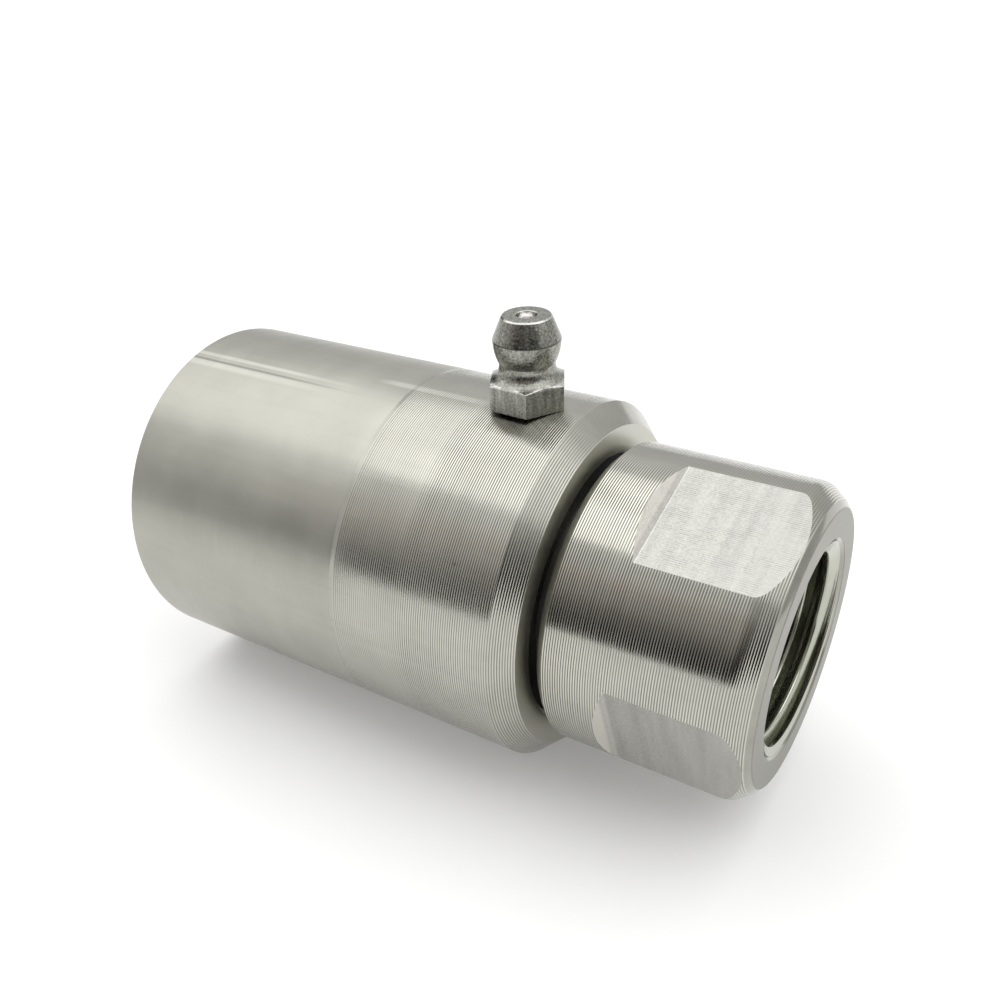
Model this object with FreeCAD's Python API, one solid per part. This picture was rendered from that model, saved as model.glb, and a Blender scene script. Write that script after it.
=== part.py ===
import FreeCAD, Part
import math
import os

os.makedirs("parts", exist_ok=True)

# Hose reel swivel: a housing that is screwed to the supply, and a spindle that turns in it with the hose.
# X runs along the spin axis, from the face of the rear port to the face of the head port.
# Z points up through the grease nipple. The origin is the centre of the rear face. Millimetres.

# Running clearance between pieces that move on each other, measured on the radius
running_clearance = 0.05

# Pipe thread ports, G 1/2: the wall stands at the root of the thread
port_wall_radius = 10.48
port_mouth_radius = 10.97
port_depth = 15.0
port_floor_radius = 9.2
flow_radius = 5.0
drill_point_angle = 118.0

# Housing
housing_radius = 19.0
housing_front_chamfer = 2.0
rear_edge_break = 0.4
web_thickness = 2.5
seal_pocket_radius = 11.0
bore_mouth_chamfer = 0.5

# Pressure seal in its pocket, from the web forward
seal_end_play = 0.8
cup_length = 5.3
cup_slot_share = 0.26
cup_slot_depth = 2.7
cup_relief = 0.25
backup_ring_thickness = 1.8

# Retainer washer with its O-ring, and the spacer ring
washer_thickness = 2.8
o_ring_radius = 0.75
o_ring_groove_width = 1.8
spacer_length = 2.6
spacer_wall = 2.4

# Deep groove bearing 15 x 28 x 7
bearing_bore_radius = 7.5
bearing_outer_radius = 14.0
bearing_width = 7.0
bearing_ball_share = 0.2836
bearing_land_share = 0.2077
bearing_ball_count = 11
bearing_corner = 0.3
race_clearance = 0.06
cage_wall = 1.2
cage_base = 1.0
cage_finger_reach = 0.9

# Circlip on the spindle's nose
circlip_thickness = 1.0
circlip_groove_depth = 0.35
circlip_groove_play = 0.1
circlip_width = 1.9
circlip_taper = 0.3
circlip_opening = 44.0
circlip_ear_radius = 1.15
circlip_ear_hole_radius = 0.6

# Full row of lock balls between the housing and the spindle
lock_ball_diameter = 4.7625
lock_ball_play = 0.06
lock_groove_clearance = 0.07
lock_row_offset = 3.7

# Dust seal at the front of the housing, in the space between the housing and the spindle's neck
neck_space = 3.0
dust_seal_offset = 3.2
dust_seal_width = 4.0
dust_seal_recess = 1.0
seal_front_skin = 0.5
seal_case_wall_share = 0.2
seal_case_flange_share = 0.53
garter_wire_share = 0.13
garter_lip_share = 0.3
seal_web_reach = 1.5

# Spindle
nose_end_gap = 0.5
nose_edge_chamfer = 0.5
abutment_length = 0.4
neck_fillet = 0.3
head_gap = 1.0
head_radius = 15.7
head_length = 20.6
head_back_chamfer = 1.0
head_front_chamfer_length = 1.65
head_front_chamfer_depth = 1.3
head_face_break_length = 0.5
head_face_break_depth = 0.75

# Wrench flats on the head
flat_count = 4
flat_distance = 14.5
flat_length = 13.3
flat_angle = 19.5
flat_ramp_angle = 45.0

# Grease nipple, screwed radially into the housing over the lock balls
nipple_shank_radius = 2.5
nipple_shank_end_gap = 0.2
hexagon_sides = 6
hexagon_across_flats = 7.0
hexagon_height = 2.8
hexagon_turn = 28.0
hexagon_bevel_radius = 3.25
hexagon_bevel_angle = 23.0
flare_radius = 3.2
flare_middle_height = 3.3
flare_middle_radius = 2.9
neck_height = 4.2
nipple_neck_radius = 2.7
bulge_middle_height = 5.1
bulge_middle_radius = 3.05
bulge_height = 6.5
bulge_radius = 3.25
nipple_height = 8.7
nipple_top_radius = 2.4
nipple_top_edge = 0.15

# Check valve in the nipple
mouth_radius = 1.0
mouth_depth = 0.8
check_ball_radius = 1.2
valve_chamber_radius = 1.35
valve_lip_thickness = 0.6
valve_lip_radius = 0.7
valve_seat_clearance = 0.02
spring_wire_radius = 0.14
spring_mean_radius = 0.95
spring_turns = 8

# Places along the axis, stacked from the rear face
seal_pocket_x = port_depth + web_thickness
cup_x = seal_pocket_x + seal_end_play
backup_ring_x = cup_x + cup_length
washer_x = backup_ring_x + backup_ring_thickness
spacer_x = washer_x + washer_thickness
bearing_x = spacer_x + spacer_length
bearing_end_x = bearing_x + bearing_width
lock_row_x = bearing_end_x + lock_row_offset
dust_seal_x = lock_row_x + dust_seal_offset
dust_seal_end_x = dust_seal_x + dust_seal_width
housing_end_x = dust_seal_end_x + dust_seal_recess
head_x = housing_end_x + head_gap
head_end_x = head_x + head_length
nose_x = seal_pocket_x + nose_end_gap

# Radii that follow from the fits
neck_radius = bearing_outer_radius - neck_space
nose_running_radius = bearing_bore_radius + running_clearance
neck_running_radius = neck_radius + running_clearance
port_countersink = port_mouth_radius - port_wall_radius
lock_ball_radius = lock_ball_diameter / 2
lock_pitch_radius = bearing_outer_radius - neck_space / 2
lock_groove_radius = lock_ball_radius + lock_groove_clearance
lock_ball_step = 2 * math.asin((lock_ball_radius + lock_ball_play / 2) / lock_pitch_radius)
lock_ball_count = math.floor(2 * math.pi / lock_ball_step)
bearing_section = bearing_outer_radius - bearing_bore_radius
bearing_ball_radius = bearing_ball_share * bearing_outer_radius / 2
bearing_pitch_radius = bearing_bore_radius + bearing_section / 2
bearing_race_radius = bearing_ball_radius + race_clearance
inner_land_radius = bearing_pitch_radius - bearing_land_share * bearing_section
outer_land_radius = bearing_pitch_radius + bearing_land_share * bearing_section

AXIS = FreeCAD.Vector(1, 0, 0)
UP = FreeCAD.Vector(0, 0, 1)
CENTRE = FreeCAD.Vector(0, 0, 0)
ARC = "the middle point of an arc"


def closed_face(points, place):
    """A flat face round (a, b) points; a point marked ARC is where an arc to the next one passes."""
    closed = points + points[:1]
    edges = []
    i = 0
    while i < len(closed) - 1:
        start = place(*closed[i][:2])
        following = closed[i + 1]
        if ARC in following:
            i += 2
            edges.append(Part.Arc(start, place(*following[:2]), place(*closed[i][:2])).toShape())
        else:
            i += 1
            edges.append(Part.LineSegment(start, place(*following[:2])).toShape())
    return Part.Face(Part.Wire(edges))


def turned(points):
    """A solid turned about the spin axis from (x, radius) points."""
    face = closed_face(points, lambda x, radius: FreeCAD.Vector(x, 0, radius))
    return face.revolve(CENTRE, AXIS, 360)


def turned_upright(points, x):
    """A solid turned about a vertical axis at x, from (radius, z) points."""
    face = closed_face(points, lambda radius, z: FreeCAD.Vector(x + radius, 0, z))
    return face.revolve(FreeCAD.Vector(x, 0, 0), UP, 360)


def ring(start_x, end_x, inner_radius, outer_radius, corner=0.0):
    """A plain ring with its outer corners chamfered."""
    return turned([
        (start_x, inner_radius),
        (start_x, outer_radius - corner),
        (start_x + corner, outer_radius),
        (end_x - corner, outer_radius),
        (end_x, outer_radius - corner),
        (end_x, inner_radius),
    ] if corner else [
        (start_x, inner_radius),
        (start_x, outer_radius),
        (end_x, outer_radius),
        (end_x, inner_radius),
    ])


def ball_track(x, pitch_radius, track_radius):
    """The round groove that a row of balls runs in, as the solid to cut away."""
    return Part.makeTorus(pitch_radius, track_radius, FreeCAD.Vector(x, 0, 0), AXIS)


def ball_row(x, pitch_radius, ball_radius, count):
    """A ring of balls, the first one at the top."""
    balls = []
    for i in range(count):
        angle = 2 * math.pi * i / count
        middle = FreeCAD.Vector(x, -pitch_radius * math.sin(angle), pitch_radius * math.cos(angle))
        balls.append(Part.makeSphere(ball_radius, middle))
    return balls


def save(name, shape):
    shape.exportStep("parts/" + name + ".step")


def housing():
    body = turned([
        (0, port_mouth_radius),
        (0, housing_radius - rear_edge_break),
        (rear_edge_break, housing_radius),
        (housing_end_x - housing_front_chamfer, housing_radius),
        (housing_end_x, housing_radius - housing_front_chamfer),
        (housing_end_x, bearing_outer_radius + bore_mouth_chamfer),
        (housing_end_x - bore_mouth_chamfer, bearing_outer_radius),
        (washer_x, bearing_outer_radius),
        (washer_x, seal_pocket_radius),
        (seal_pocket_x, seal_pocket_radius),
        (seal_pocket_x, flow_radius),
        (port_depth, flow_radius),
        (port_depth, port_wall_radius),
        (port_countersink, port_wall_radius),
    ])
    body = body.cut(ball_track(lock_row_x, lock_pitch_radius, lock_groove_radius))
    loading_hole = Part.makeCylinder(
        nipple_shank_radius, housing_radius, FreeCAD.Vector(lock_row_x, 0, neck_radius), UP)
    return body.cut(loading_hole)


def wrench_flat(angle):
    """What the cutter takes away for one flat: a level floor that ends in a sloping ramp."""
    floor_start_x = head_end_x - flat_length
    reach = 2 * head_radius
    rise = reach - flat_distance
    run = rise / math.tan(math.radians(flat_ramp_angle))
    corners = [
        FreeCAD.Vector(floor_start_x, -reach, flat_distance),
        FreeCAD.Vector(head_end_x + reach, -reach, flat_distance),
        FreeCAD.Vector(head_end_x + reach, -reach, reach),
        FreeCAD.Vector(floor_start_x - run, -reach, reach),
    ]
    side = Part.Face(Part.makePolygon(corners + corners[:1]))
    cutter = side.extrude(FreeCAD.Vector(0, 2 * reach, 0))
    cutter.rotate(CENTRE, AXIS, angle)
    return cutter


def spindle():
    groove_radius = bearing_bore_radius - circlip_groove_depth
    groove_x = bearing_x - circlip_thickness - circlip_groove_play
    port_floor_x = head_end_x - port_depth
    point_length = (port_floor_radius - flow_radius) / math.tan(math.radians(drill_point_angle / 2))
    chamfer_end_x = head_end_x - head_face_break_length
    chamfer_end_radius = head_radius - head_front_chamfer_depth
    body = turned([
        (nose_x, flow_radius),
        (nose_x, bearing_bore_radius - nose_edge_chamfer),
        (nose_x + nose_edge_chamfer, bearing_bore_radius),
        (groove_x, bearing_bore_radius),
        (groove_x, groove_radius),
        (bearing_x, groove_radius),
        (bearing_x, bearing_bore_radius),
        (bearing_end_x, bearing_bore_radius),
        (bearing_end_x, inner_land_radius),
        (bearing_end_x + abutment_length, inner_land_radius),
        (bearing_end_x + abutment_length, neck_radius),
        (head_x - neck_fillet, neck_radius),
        (head_x, neck_radius + neck_fillet),
        (head_x, head_radius - head_back_chamfer),
        (head_x + head_back_chamfer, head_radius),
        (chamfer_end_x - head_front_chamfer_length, head_radius),
        (chamfer_end_x, chamfer_end_radius),
        (head_end_x, chamfer_end_radius - head_face_break_depth),
        (head_end_x, port_mouth_radius),
        (head_end_x - port_countersink, port_wall_radius),
        (port_floor_x, port_wall_radius),
        (port_floor_x, port_floor_radius),
        (port_floor_x - point_length, flow_radius),
    ])
    body = body.cut(ball_track(lock_row_x, lock_pitch_radius, lock_groove_radius))
    for i in range(flat_count):
        body = body.cut(wrench_flat(flat_angle + i * 360 / flat_count))
    return body


def lock_balls():
    return Part.makeCompound(ball_row(lock_row_x, lock_pitch_radius, lock_ball_radius, lock_ball_count))


bearing_middle_x = bearing_x + bearing_width / 2


def rear_bearing_outer_ring():
    body = ring(bearing_x, bearing_end_x, outer_land_radius, bearing_outer_radius, bearing_corner)
    return body.cut(ball_track(bearing_middle_x, bearing_pitch_radius, bearing_race_radius))


def rear_bearing_inner_ring():
    body = turned([
        (bearing_x, bearing_bore_radius + bearing_corner),
        (bearing_x, inner_land_radius),
        (bearing_end_x, inner_land_radius),
        (bearing_end_x, bearing_bore_radius + bearing_corner),
        (bearing_end_x - bearing_corner, bearing_bore_radius),
        (bearing_x + bearing_corner, bearing_bore_radius),
    ])
    return body.cut(ball_track(bearing_middle_x, bearing_pitch_radius, bearing_race_radius))


def rear_bearing_balls():
    return Part.makeCompound(
        ball_row(bearing_middle_x, bearing_pitch_radius, bearing_ball_radius, bearing_ball_count))


def rear_bearing_cage():
    """A crown cage: a base ring with a round pocket, bored from outside, for each ball."""
    body = ring(
        bearing_middle_x - bearing_race_radius - cage_base, bearing_middle_x + cage_finger_reach,
        bearing_pitch_radius - cage_wall / 2, bearing_pitch_radius + cage_wall / 2)
    middle = FreeCAD.Vector(bearing_middle_x, 0, 0)
    for i in range(bearing_ball_count):
        pocket = Part.makeCylinder(bearing_race_radius, bearing_outer_radius, middle, UP)
        pocket.rotate(middle, AXIS, 360 * i / bearing_ball_count)
        body = body.cut(pocket)
    return body


def spindle_circlip():
    """A snap ring that is widest opposite its opening, with an ear on each side of it."""
    seat_radius = bearing_bore_radius - circlip_groove_depth
    start = FreeCAD.Vector(bearing_x - circlip_thickness, 0, 0)
    rim = Part.makeCylinder(
        seat_radius + circlip_width - circlip_taper, circlip_thickness,
        start + FreeCAD.Vector(0, 0, circlip_taper), AXIS)
    ear_place_radius = seat_radius + circlip_ear_radius
    ears = []
    holes = []
    for side in (-1, 1):
        turn = side * (circlip_opening / 2 + math.degrees(circlip_ear_radius / ear_place_radius))
        angle = math.radians(180 + turn)
        place = start + FreeCAD.Vector(
            0, -ear_place_radius * math.sin(angle), ear_place_radius * math.cos(angle))
        ears.append(Part.makeCylinder(circlip_ear_radius, circlip_thickness, place, AXIS))
        holes.append(Part.makeCylinder(circlip_ear_hole_radius, circlip_thickness, place, AXIS))
    body = rim.fuse(ears).removeSplitter()
    body = body.cut(Part.makeCylinder(seat_radius, circlip_thickness, start, AXIS))
    reach = 2 * bearing_outer_radius
    half = math.radians(circlip_opening / 2)
    wedge = Part.Face(Part.makePolygon([
        start,
        start + FreeCAD.Vector(0, -reach * math.sin(half), -reach * math.cos(half)),
        start + FreeCAD.Vector(0, reach * math.sin(half), -reach * math.cos(half)),
        start,
    ]))
    body = body.cut(wedge.extrude(AXIS * circlip_thickness))
    return body.cut(holes)


def bearing_spacer_ring():
    return ring(spacer_x, bearing_x, bearing_outer_radius - spacer_wall, bearing_outer_radius)


washer_bore_radius = nose_running_radius + running_clearance
o_ring_middle_radius = nose_running_radius + o_ring_radius


def seal_retainer_washer():
    body = ring(washer_x, spacer_x, washer_bore_radius, bearing_outer_radius, bearing_corner)
    groove_x = washer_x + (washer_thickness - o_ring_groove_width) / 2
    groove = ring(
        groove_x, groove_x + o_ring_groove_width,
        bearing_bore_radius, o_ring_middle_radius + o_ring_radius)
    return body.cut(groove)


def retainer_o_ring():
    middle = FreeCAD.Vector(washer_x + washer_thickness / 2, 0, 0)
    return Part.makeTorus(o_ring_middle_radius, o_ring_radius, middle, AXIS)


cup_middle_radius = (nose_running_radius + seal_pocket_radius) / 2
cup_slot_radius = cup_slot_share * (seal_pocket_radius - nose_running_radius)
cup_slot_end_x = cup_x + cup_slot_depth - cup_slot_radius


def pressure_seal_cup():
    """A cup seal with two lips towards the pressure and a round-bottomed slot between them."""
    lip_x = cup_x + cup_slot_radius
    heel_x = backup_ring_x - cup_slot_depth / 2
    waist_x = (lip_x + heel_x) / 2
    return turned([
        (cup_x, nose_running_radius + cup_relief),
        (cup_x, cup_middle_radius - cup_slot_radius),
        (cup_slot_end_x, cup_middle_radius - cup_slot_radius),
        (cup_slot_end_x + cup_slot_radius, cup_middle_radius, ARC),
        (cup_slot_end_x, cup_middle_radius + cup_slot_radius),
        (cup_x, cup_middle_radius + cup_slot_radius),
        (cup_x, seal_pocket_radius - cup_relief),
        (lip_x, seal_pocket_radius),
        (waist_x, seal_pocket_radius - cup_relief),
        (heel_x, seal_pocket_radius),
        (backup_ring_x, seal_pocket_radius),
        (backup_ring_x, nose_running_radius),
        (heel_x, nose_running_radius),
        (waist_x, nose_running_radius + cup_relief),
        (lip_x, nose_running_radius),
    ])


def pressure_seal_energiser():
    middle = FreeCAD.Vector(cup_slot_end_x, 0, 0)
    return Part.makeTorus(cup_middle_radius, cup_slot_radius, middle, AXIS)


def seal_backup_ring():
    return ring(backup_ring_x, washer_x, nose_running_radius, seal_pocket_radius)


seal_skin_x = dust_seal_end_x - seal_front_skin
seal_case_wall = seal_case_wall_share * neck_space
seal_case_flange = seal_case_flange_share * neck_space
seal_inside_radius = bearing_outer_radius - seal_case_wall
garter_wire_radius = garter_wire_share * neck_space
garter_lip_thickness = garter_lip_share * neck_space
garter_x = dust_seal_x + dust_seal_width / 2
garter_middle_radius = neck_running_radius + garter_lip_thickness + garter_wire_radius


def dust_seal_case():
    """A pressed steel case with a flange that turns in at its rear."""
    return turned([
        (dust_seal_x, bearing_outer_radius - seal_case_flange),
        (dust_seal_x, bearing_outer_radius),
        (seal_skin_x, bearing_outer_radius),
        (seal_skin_x, seal_inside_radius),
        (dust_seal_x + seal_case_wall, seal_inside_radius),
        (dust_seal_x + seal_case_wall, bearing_outer_radius - seal_case_flange),
    ])


def dust_seal_lip():
    """Rubber that lines the case, covers its front and ends in a sprung lip and a dust lip on the neck."""
    back_x = dust_seal_x + seal_case_wall
    lip_back_x = garter_x - seal_web_reach * garter_wire_radius
    web_x = garter_x + seal_web_reach * garter_wire_radius
    lining_radius = seal_inside_radius - seal_case_wall
    crest = neck_running_radius
    slack = crest + garter_wire_radius
    return turned([
        (back_x, seal_inside_radius),
        (seal_skin_x, seal_inside_radius),
        (seal_skin_x, bearing_outer_radius),
        (dust_seal_end_x, bearing_outer_radius),
        (dust_seal_end_x, slack),
        (dust_seal_end_x - garter_wire_radius, crest),
        (dust_seal_end_x - 2 * garter_wire_radius, slack),
        (garter_x + garter_wire_radius, slack),
        (garter_x, crest),
        (lip_back_x, slack),
        (lip_back_x, garter_middle_radius),
        (garter_x - garter_wire_radius, garter_middle_radius),
        (garter_x, garter_middle_radius - garter_wire_radius, ARC),
        (garter_x + garter_wire_radius, garter_middle_radius),
        (web_x, garter_middle_radius),
        (web_x, lining_radius),
        (back_x, lining_radius),
    ])


def dust_seal_garter_spring():
    middle = FreeCAD.Vector(garter_x, 0, 0)
    return Part.makeTorus(garter_middle_radius, garter_wire_radius, middle, AXIS)


nipple_seat_z = housing_radius
nipple_top_z = nipple_seat_z + nipple_height
shank_end_z = lock_pitch_radius + lock_ball_radius + nipple_shank_end_gap
chamber_floor_z = shank_end_z + valve_lip_thickness
valve_edge_z = nipple_top_z - mouth_depth
check_ball_z = (
    valve_edge_z - math.sqrt(check_ball_radius ** 2 - mouth_radius ** 2) - valve_seat_clearance)


def nipple_hexagon():
    """The hexagon, its upper corners bevelled by a cone."""
    corner_radius = hexagon_across_flats / (2 * math.cos(math.pi / hexagon_sides))
    top_z = nipple_seat_z + hexagon_height
    corners = []
    for i in range(hexagon_sides):
        angle = math.radians(hexagon_turn - 90 + 360 * i / hexagon_sides)
        corners.append(FreeCAD.Vector(
            lock_row_x + corner_radius * math.cos(angle), corner_radius * math.sin(angle), nipple_seat_z))
    prism = Part.Face(Part.makePolygon(corners + corners[:1])).extrude(UP * hexagon_height)
    slope = math.tan(math.radians(hexagon_bevel_angle))
    bevel = turned_upright([
        (0, nipple_seat_z),
        (2 * corner_radius, nipple_seat_z),
        (2 * corner_radius, top_z - (2 * corner_radius - hexagon_bevel_radius) * slope),
        (hexagon_bevel_radius, top_z),
        (0, top_z),
    ], lock_row_x)
    return prism.common(bevel)


def grease_nipple_body():
    hexagon_top_z = nipple_seat_z + hexagon_height
    outside = turned_upright([
        (0, shank_end_z),
        (nipple_shank_radius, shank_end_z),
        (nipple_shank_radius, nipple_seat_z + hexagon_height / 2),
        (flare_radius, nipple_seat_z + hexagon_height / 2),
        (flare_radius, hexagon_top_z),
        (flare_middle_radius, nipple_seat_z + flare_middle_height, ARC),
        (nipple_neck_radius, nipple_seat_z + neck_height),
        (bulge_middle_radius, nipple_seat_z + bulge_middle_height, ARC),
        (bulge_radius, nipple_seat_z + bulge_height),
        (nipple_top_radius, nipple_top_z - nipple_top_edge),
        (nipple_top_radius - nipple_top_edge, nipple_top_z),
        (0, nipple_top_z),
    ], lock_row_x)
    seat_rise = valve_chamber_radius - mouth_radius
    passage = turned_upright([
        (0, shank_end_z),
        (valve_lip_radius, shank_end_z),
        (valve_lip_radius, chamber_floor_z),
        (valve_chamber_radius, chamber_floor_z),
        (valve_chamber_radius, valve_edge_z - seat_rise),
        (mouth_radius, valve_edge_z),
        (mouth_radius, nipple_top_z),
        (0, nipple_top_z),
    ], lock_row_x)
    return outside.fuse(nipple_hexagon()).cut(passage).removeSplitter()


def nipple_check_ball():
    return Part.makeSphere(check_ball_radius, FreeCAD.Vector(lock_row_x, 0, check_ball_z))


def nipple_spring():
    """A coil that stands on the chamber's lip and ends just under the check ball."""
    wire_reach = check_ball_radius + spring_wire_radius + valve_seat_clearance
    top_z = check_ball_z - math.sqrt(wire_reach ** 2 - spring_mean_radius ** 2)
    bottom_z = chamber_floor_z + spring_wire_radius
    height = top_z - bottom_z
    helix = Part.makeHelix(height / spring_turns, height, spring_mean_radius)
    circle = Part.Circle(FreeCAD.Vector(spring_mean_radius, 0, 0), FreeCAD.Vector(0, 1, 0), spring_wire_radius)
    coil = Part.Wire(helix.Edges).makePipeShell([Part.Wire(circle.toShape())], True, True)
    coil.translate(FreeCAD.Vector(lock_row_x, 0, bottom_z))
    return coil


pieces = [
    housing,
    spindle,
    lock_balls,
    rear_bearing_outer_ring,
    rear_bearing_inner_ring,
    rear_bearing_balls,
    rear_bearing_cage,
    spindle_circlip,
    bearing_spacer_ring,
    seal_retainer_washer,
    retainer_o_ring,
    pressure_seal_cup,
    pressure_seal_energiser,
    seal_backup_ring,
    dust_seal_case,
    dust_seal_lip,
    dust_seal_garter_spring,
    grease_nipple_body,
    nipple_check_ball,
    nipple_spring,
]
for piece in pieces:
    save(piece.__name__, piece())
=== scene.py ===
import math

import bpy
from mathutils import Matrix, Quaternion, Vector


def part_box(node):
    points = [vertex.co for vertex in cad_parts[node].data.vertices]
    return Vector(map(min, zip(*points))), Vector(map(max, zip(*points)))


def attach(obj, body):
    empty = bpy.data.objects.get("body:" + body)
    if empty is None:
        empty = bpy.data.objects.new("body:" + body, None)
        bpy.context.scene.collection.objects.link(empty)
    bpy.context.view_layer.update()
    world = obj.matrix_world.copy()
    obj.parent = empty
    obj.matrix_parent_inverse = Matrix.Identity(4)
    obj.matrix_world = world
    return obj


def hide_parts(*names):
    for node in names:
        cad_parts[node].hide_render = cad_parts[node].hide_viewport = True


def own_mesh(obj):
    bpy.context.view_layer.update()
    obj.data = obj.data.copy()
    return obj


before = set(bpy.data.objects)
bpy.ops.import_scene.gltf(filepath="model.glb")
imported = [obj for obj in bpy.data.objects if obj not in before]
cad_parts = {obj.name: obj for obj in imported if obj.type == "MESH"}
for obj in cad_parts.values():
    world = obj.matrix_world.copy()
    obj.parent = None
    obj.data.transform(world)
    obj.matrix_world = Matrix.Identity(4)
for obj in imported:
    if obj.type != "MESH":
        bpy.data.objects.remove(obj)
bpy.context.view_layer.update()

mm = 0.001


# Housing. A plain round body of stainless bar, turned all over and bored from both ends.
# The turning tool's coarse feed marks are left on its front half, and a shallow ring shows
# where the front and the rear cut meet.

housing_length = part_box("housing")[1].x / mm
housing_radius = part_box("housing")[1].z / mm
housing_chamfer = 2.0
housing_chamfer_start = housing_length - housing_chamfer
rear_edge_break = 0.4
bore_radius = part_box("seal_retainer_washer")[1].z / mm
bore_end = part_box("seal_retainer_washer")[0].x / mm
seal_pocket_radius = 11.0
seal_pocket_start = 17.5
flow_radius = 5.0
port_depth = 15.0
port_root_radius = 10.48
port_mouth_radius = 10.97
lock_row_x = (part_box("lock_balls")[0].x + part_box("lock_balls")[1].x) / 2 / mm
lock_pitch_radius = 12.5
lock_track_radius = 2.45
blend_ring_x = 29.5
blend_ring_width = 0.45
blend_start = blend_ring_x - blend_ring_width / 2
blend_end = blend_ring_x + blend_ring_width / 2
blend_floor = housing_radius - 0.004
rear_marks_fade = (9, 22)
steep_marks_start = 37.5


def edged(corners):
    """An outline through (along, out, edge radius) corners, each edge broken by a small arc."""
    outline = []
    degrees_in_step = 12
    for i, (along, out, edge) in enumerate(corners):
        corner = Vector((along, out))
        if edge == 0:
            outline.append(corner)
            continue
        back = (Vector(corners[i - 1][:2]) - corner).normalized()
        ahead = (Vector(corners[(i + 1) % len(corners)][:2]) - corner).normalized()
        half = back.angle(ahead) / 2
        middle = corner + (back + ahead).normalized() * edge / math.sin(half)
        reach = edge / math.tan(half)
        first = (corner + back * reach - middle).normalized()
        last = (corner + ahead * reach - middle).normalized()
        steps = math.ceil((180 - 2 * math.degrees(half)) / degrees_in_step)
        outline += [middle + first.slerp(last, k / steps) * edge for k in range(steps + 1)]
    return outline


def round_track(side):
    """The corners of the lock balls' track, cut outwards (1) or inwards (-1) of their middle."""
    half = math.asin((bore_radius - lock_pitch_radius) / lock_track_radius)
    steps = 12
    corners = []
    for k in range(steps + 1):
        angle = half + (math.pi - 2 * half) * k / steps
        corners.append((
            lock_row_x + side * lock_track_radius * math.cos(angle),
            lock_pitch_radius + side * lock_track_radius * math.sin(angle), 0))
    return corners


def solid(name, points, faces):
    """A piece made of points in metres and the faces between them."""
    mesh = bpy.data.meshes.new(name)
    mesh.from_pydata(points, [], faces)
    piece = bpy.data.objects.new(name, mesh)
    bpy.context.scene.collection.objects.link(piece)
    return piece


def swept(name, sections, closed):
    """A solid whose skin joins each section to the next, closed to a ring or capped at its ends.

    A section's points run anticlockwise as seen along the sweep, so that the skin faces out."""
    count = len(sections[0])
    points = [point for section in sections for point in section]
    faces = []
    for step in range(len(sections) if closed else len(sections) - 1):
        here = step * count
        following = (step + 1) % len(sections) * count
        for i in range(count):
            j = (i + 1) % count
            faces.append((here + i, following + i, following + j, here + j))
    if not closed:
        faces.append(tuple(range(count)))
        faces.append(tuple(range(len(points) - count, len(points)))[::-1])
    return solid(name, points, faces)


def off_axis(along, out, angle):
    """The point so many millimetres along and out from the X axis, at an angle from the top."""
    return Vector((along, -out * math.sin(angle), out * math.cos(angle))) * mm


def turned(name, outline, around=360, place=Matrix()):
    """A solid turned about the X axis of its place, from a closed outline in millimetres."""
    sections = []
    for step in range(around):
        angle = 2 * math.pi * step / around
        sections.append([place @ off_axis(along, out, angle) for along, out in outline])
    return swept(name, sections, closed=True)


def cut(piece, tool):
    """Takes the tool's shape out of the piece. The new faces keep the tool's material."""
    boolean = piece.modifiers.new("cut", "BOOLEAN")
    boolean.solver = "EXACT"
    boolean.material_mode = "TRANSFER"
    boolean.object = tool
    with bpy.context.temp_override(object=piece):
        bpy.ops.object.modifier_apply(modifier=boolean.name)
    bpy.data.objects.remove(tool)


def fit(piece, body, slot, material, *stands_for):
    """Gives a piece its material and body, with smooth faces that end at sharp edges. The slot is
    not used.
    """
    if not piece.data.materials:
        piece.data.materials.append(material.owner)
    piece.data.shade_smooth()
    piece.data.set_sharp_from_angle(angle=math.radians(18))
    even = piece.modifiers.new("even faces", "WEIGHTED_NORMAL")
    even.keep_sharp = True
    even.weight = 100
    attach(piece, body)
    if stands_for:
        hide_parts(*stands_for)


class Value:
    """A number, vector or colour in a shader, so that its maths reads as plain expressions."""

    def __init__(self, shader, socket):
        self.shader = shader
        self.socket = socket

    def math(self, operation, *others):
        return self.shader.node("Math", {"operation": operation}, dict(enumerate((self, *others))))

    def __add__(self, other):
        return self.math("ADD", other)

    def __sub__(self, other):
        return self.math("SUBTRACT", other)

    def __rsub__(self, other):
        return self * -1 + other

    def __mul__(self, other):
        return self.math("MULTIPLY", other)

    def __truediv__(self, other):
        return self.math("DIVIDE", other)

    __radd__ = __add__
    __rmul__ = __mul__

    def step(self, start, end):
        """0 up to start and 1 from end on, smooth in between."""
        return self.shader.node(
            "MapRange", {"interpolation_type": "SMOOTHSTEP"}, {0: self, 1: start, 2: end})


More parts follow.
